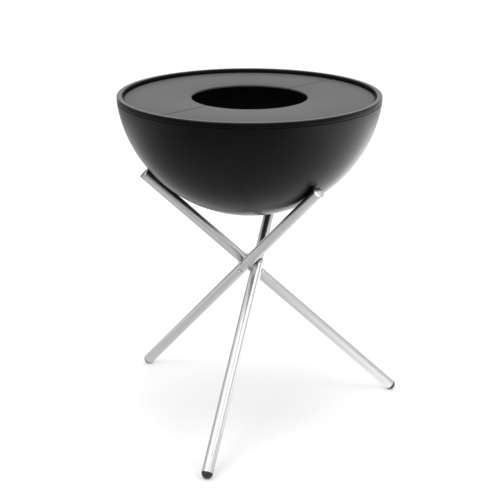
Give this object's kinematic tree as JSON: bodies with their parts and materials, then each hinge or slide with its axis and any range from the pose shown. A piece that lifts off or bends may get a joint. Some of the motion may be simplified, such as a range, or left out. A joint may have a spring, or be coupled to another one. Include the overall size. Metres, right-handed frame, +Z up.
{
  "type": "fire bowl",
  "caption": "Round black fire bowl with a split ring cooking plate round its fire opening, tilting loose in a tripod of crossed steel tubes with round feet.",
  "frame": {"origin": "middle of the footprint's bounding box, on the floor that the feet stand on; the bowl's own upright axis passes 40.9 mm to the -X side and 40.9 mm to the +Y side of it", "axes": "+Z up; -Y towards the viewer of the picture's side, where the front foot stands; the right foot lies 15 degrees from +X about the bowl's axis"},
  "size_m": [0.7762, 0.7762, 0.9054],
  "materials": {
    "bowl_coat": "satin black heat-resistant coat on steel",
    "plate_steel": "even matte dark gray, seasoned for cooking",
    "fire_steel": "dull heat-blackened",
    "tube_steel": "fine lengthways-ground stainless tube",
    "cap_steel": "turned and polished stainless",
    "foot_rubber": "smooth black",
    "saddle_steel": "blasted stainless",
    "screw_steel": "bright stainless"
  },
  "bodies": {
    "tripod": {"leg_right": "tube_steel", "leg_rear": "tube_steel", "leg_front": "tube_steel", "top_cap_right": "cap_steel", "top_cap_rear": "cap_steel", "top_cap_front": "cap_steel", "foot_right": "foot_rubber", "foot_rear": "foot_rubber", "foot_front": "foot_rubber", "tube_saddles": "saddle_steel", "clamp_screws": "screw_steel", "sleeve_nuts": "screw_steel", "saddle_washers": "saddle_steel"},
    "bowl": {"bowl_shell": "bowl_coat", "rim_bead": "bowl_coat", "plate_ledge": "plate_steel"},
    "plate_rear": {"cooking_plate_rear": "plate_steel"},
    "plate_front": {"cooking_plate_front": "plate_steel"},
    "fire_plate": {"fire_plate": "fire_steel"}
  },
  "joints": [
    {"name": "bowl_tilt", "type": "hinge", "parent": "tripod", "child": "bowl", "pos_m": [-0.04095, 0.04095, 0.9349], "axis": [1, 0, 0], "range_deg": [-12, 12]},
    {"name": "plate_rear_lift", "type": "slide", "parent": "bowl", "child": "plate_rear", "axis": [0, 0, 1], "range_m": [0, 0.12]},
    {"name": "plate_front_lift", "type": "slide", "parent": "bowl", "child": "plate_front", "axis": [0, 0, 1], "range_m": [0, 0.12]},
    {"name": "fire_plate_lift", "type": "slide", "parent": "bowl", "child": "fire_plate", "axis": [0, 0, 1], "range_m": [0, 0.33]}
  ]
}
